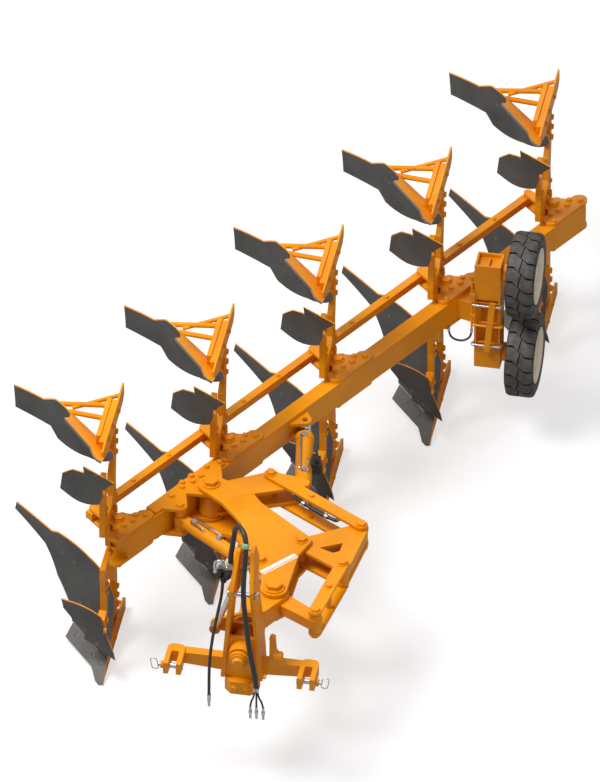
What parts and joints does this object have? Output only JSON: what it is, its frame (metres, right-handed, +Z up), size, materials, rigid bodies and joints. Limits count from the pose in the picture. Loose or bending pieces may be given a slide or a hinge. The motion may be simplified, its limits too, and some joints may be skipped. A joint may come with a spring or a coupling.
{
  "type": "mounted reversible moldboard plough",
  "caption": "Mounted reversible moldboard plough with a skewed beam, paired upper and lower bodies with skimmers, twin gauge wheels and an offset parallelogram linkage.",
  "frame": {"origin": "on the ground, under the middle of the plough's box", "axes": "+Y to the rear, along the line of travel; +X to the side where the gauge wheels stand; +Z up"},
  "size_m": [3.2261, 5.6584, 1.8949],
  "materials": {
    "orange_paint": "semi-gloss orange paint",
    "mouldboard_steel": "dark satin hardened steel",
    "share_steel": "grey hardened steel",
    "tyre_rubber": "block tread",
    "rim_paint": "cream paint",
    "zinc": "zinc plated",
    "chrome": "hard chrome",
    "hose_rubber": "black hose"
  },
  "bodies": {
    "headstock": {"mast": "orange_paint", "crossbar": "orange_paint", "hitch_pins": "zinc", "turnover_cylinder_barrel": "orange_paint", "turnover_cylinder_rod": "chrome", "valve_block": "zinc", "hose_bundle": "hose_rubber", "hose_left": "hose_rubber", "hose_tail_1": "hose_rubber", "hose_tail_2": "hose_rubber", "hose_tail_3": "hose_rubber", "hose_couplers": "zinc"},
    "turn_frame": {"turning_frame": "orange_paint", "turning_frame_pins": "zinc"},
    "main_arm": {"main_arm": "orange_paint", "arm_pins": "zinc"},
    "bell_crank": {"bell_crank": "orange_paint", "bell_crank_pins": "zinc"},
    "short_link": {"short_link": "orange_paint"},
    "long_link": {"long_link": "orange_paint"},
    "intermediate": {"intermediate_plate": "orange_paint", "intermediate_pins": "zinc"},
    "beam": {"beam": "orange_paint", "body_brackets": "orange_paint", "leg_pins": "zinc", "front_bracket": "orange_paint", "cylinder_bracket": "orange_paint", "beam_pins": "zinc", "wheel_support": "orange_paint", "hose_wheel": "hose_rubber"},
    "control_bar": {"control_bar": "orange_paint"},
    "width_barrel": {"width_cylinder_barrel": "orange_paint"},
    "width_rod": {"width_cylinder_rod": "chrome"},
    "offset_barrel": {"offset_cylinder_barrel": "orange_paint"},
    "offset_rod": {"offset_cylinder_rod": "chrome"},
    "parking_stand": {"parking_stand": "orange_paint"},
    "wheel_upper": {"tyre_upper": "tyre_rubber", "rim_upper": "rim_paint"},
    "wheel_lower": {"tyre_lower": "tyre_rubber", "rim_lower": "rim_paint"},
    "carrier_1": {"leg_carrier_1": "orange_paint", "mouldboards_1": "mouldboard_steel", "shares_1": "share_steel", "frogs_1": "orange_paint"},
    "carrier_2": {"leg_carrier_2": "orange_paint", "mouldboards_2": "mouldboard_steel", "shares_2": "share_steel", "frogs_2": "orange_paint"},
    "carrier_3": {"leg_carrier_3": "orange_paint", "mouldboards_3": "mouldboard_steel", "shares_3": "share_steel", "frogs_3": "orange_paint"},
    "carrier_4": {"leg_carrier_4": "orange_paint", "mouldboards_4": "mouldboard_steel", "shares_4": "share_steel", "frogs_4": "orange_paint"},
    "carrier_5": {"leg_carrier_5": "orange_paint", "mouldboards_5": "mouldboard_steel", "shares_5": "share_steel", "frogs_5": "orange_paint"}
  },
  "joints": [
    {"name": "turnover", "type": "hinge", "parent": "headstock", "child": "turn_frame", "pos_m": [0.21317, -2.55319, 0.94], "axis": [0, 1, 0], "range_deg": [0, 180]},
    {"name": "offset", "type": "hinge", "parent": "turn_frame", "child": "main_arm", "pos_m": [0.32317, -2.12319, 0.94], "axis": [0, 0, 1], "range_deg": [-25, 8]},
    {"name": "bell_crank_turn", "type": "hinge", "parent": "main_arm", "child": "bell_crank", "pos_m": [0.40917, -1.62119, 0.94], "axis": [0, 0, 1], "range_deg": [-8, 25]},
    {"name": "short_link_turn", "type": "hinge", "parent": "turn_frame", "child": "short_link", "pos_m": [0.62317, -2.29819, 0.94], "axis": [0, 0, 1], "range_deg": [-25, 8]},
    {"name": "long_link_turn", "type": "hinge", "parent": "bell_crank", "child": "long_link", "pos_m": [0.75917, -1.39119, 0.94], "axis": [0, 0, 1], "range_deg": [-25, 8]},
    {"name": "intermediate_turn", "type": "hinge", "parent": "main_arm", "child": "intermediate", "pos_m": [-0.26083, -1.21419, 0.94], "axis": [0, 0, 1], "range_deg": [-8, 25]},
    {"name": "width", "type": "hinge", "parent": "intermediate", "child": "beam", "pos_m": [-0.26083, -1.21419, 0.94], "axis": [0, 0, 1], "range_deg": [0, 11.5]},
    {"name": "control_bar_turn", "type": "hinge", "parent": "carrier_1", "child": "control_bar", "pos_m": [-0.98205, -1.47358, 0.94], "axis": [0, 0, 1], "range_deg": [0, 11.5]},
    {"name": "width_cylinder_turn", "type": "hinge", "parent": "intermediate", "child": "width_barrel", "pos_m": [0.30517, -1.00519, 0.94], "axis": [0, 0, 1], "range_deg": [0, 12.34]},
    {"name": "width_cylinder_travel", "type": "slide", "parent": "width_barrel", "child": "width_rod", "axis": [-0.1607, 0.987, 0], "range_m": [0, 0.12043]},
    {"name": "offset_cylinder_turn", "type": "hinge", "parent": "beam", "child": "offset_barrel", "pos_m": [-0.42071, -1.43317, 0.94], "axis": [0, 0, 1], "range_deg": [-26.5, 8.48]},
    {"name": "offset_cylinder_travel", "type": "slide", "parent": "offset_barrel", "child": "offset_rod", "axis": [0.8137, -0.5813, 0], "range_m": [-0.11519, 0.03686]},
    {"name": "stand_fold", "type": "hinge", "parent": "main_arm", "child": "parking_stand", "pos_m": [0.14817, -1.75319, 0.755], "axis": [1, 0, 0], "range_deg": [0, 90]},
    {"name": "wheel_upper_spin", "type": "hinge", "parent": "beam", "child": "wheel_upper", "pos_m": [1.39817, 1.04481, 1.27], "axis": [1, 0, 0], "continuous": true},
    {"name": "wheel_lower_spin", "type": "hinge", "parent": "beam", "child": "wheel_lower", "pos_m": [1.39817, 1.04481, 0.61], "axis": [1, 0, 0], "continuous": true},
    {"name": "body_1_turn", "type": "hinge", "parent": "beam", "child": "carrier_1", "pos_m": [-0.78505, -1.63658, 0.94], "axis": [0, 0, 1], "range_deg": [-11.5, 0]},
    {"name": "body_2_turn", "type": "hinge", "parent": "beam", "child": "carrier_2", "pos_m": [-0.23823, -0.7064, 0.94], "axis": [0, 0, 1], "range_deg": [-11.5, 0]},
    {"name": "body_3_turn", "type": "hinge", "parent": "beam", "child": "carrier_3", "pos_m": [0.30859, 0.22377, 0.94], "axis": [0, 0, 1], "range_deg": [-11.5, 0]},
    {"name": "body_4_turn", "type": "hinge", "parent": "beam", "child": "carrier_4", "pos_m": [0.85542, 1.15395, 0.94], "axis": [0, 0, 1], "range_deg": [-11.5, 0]},
    {"name": "body_5_turn", "type": "hinge", "parent": "beam", "child": "carrier_5", "pos_m": [1.40224, 2.08412, 0.94], "axis": [0, 0, 1], "range_deg": [-11.5, 0]}
  ],
  "couplings": [
    {"joint": "bell_crank_turn", "follows": "offset", "ratio": -1},
    {"joint": "short_link_turn", "follows": "offset", "ratio": 1},
    {"joint": "long_link_turn", "follows": "offset", "ratio": 1},
    {"joint": "intermediate_turn", "follows": "offset", "ratio": -1},
    {"joint": "offset_cylinder_turn", "follows": "offset", "ratio": 1.06},
    {"joint": "offset_cylinder_travel", "follows": "offset", "m_per_rad": 0.264},
    {"joint": "control_bar_turn", "follows": "width", "ratio": 1},
    {"joint": "width_cylinder_turn", "follows": "width", "ratio": 1.073},
    {"joint": "width_cylinder_travel", "follows": "width", "m_per_rad": 0.6},
    {"joint": "body_1_turn", "follows": "width", "ratio": -1},
    {"joint": "body_2_turn", "follows": "width", "ratio": -1},
    {"joint": "body_3_turn", "follows": "width", "ratio": -1},
    {"joint": "body_4_turn", "follows": "width", "ratio": -1},
    {"joint": "body_5_turn", "follows": "width", "ratio": -1}
  ]
}
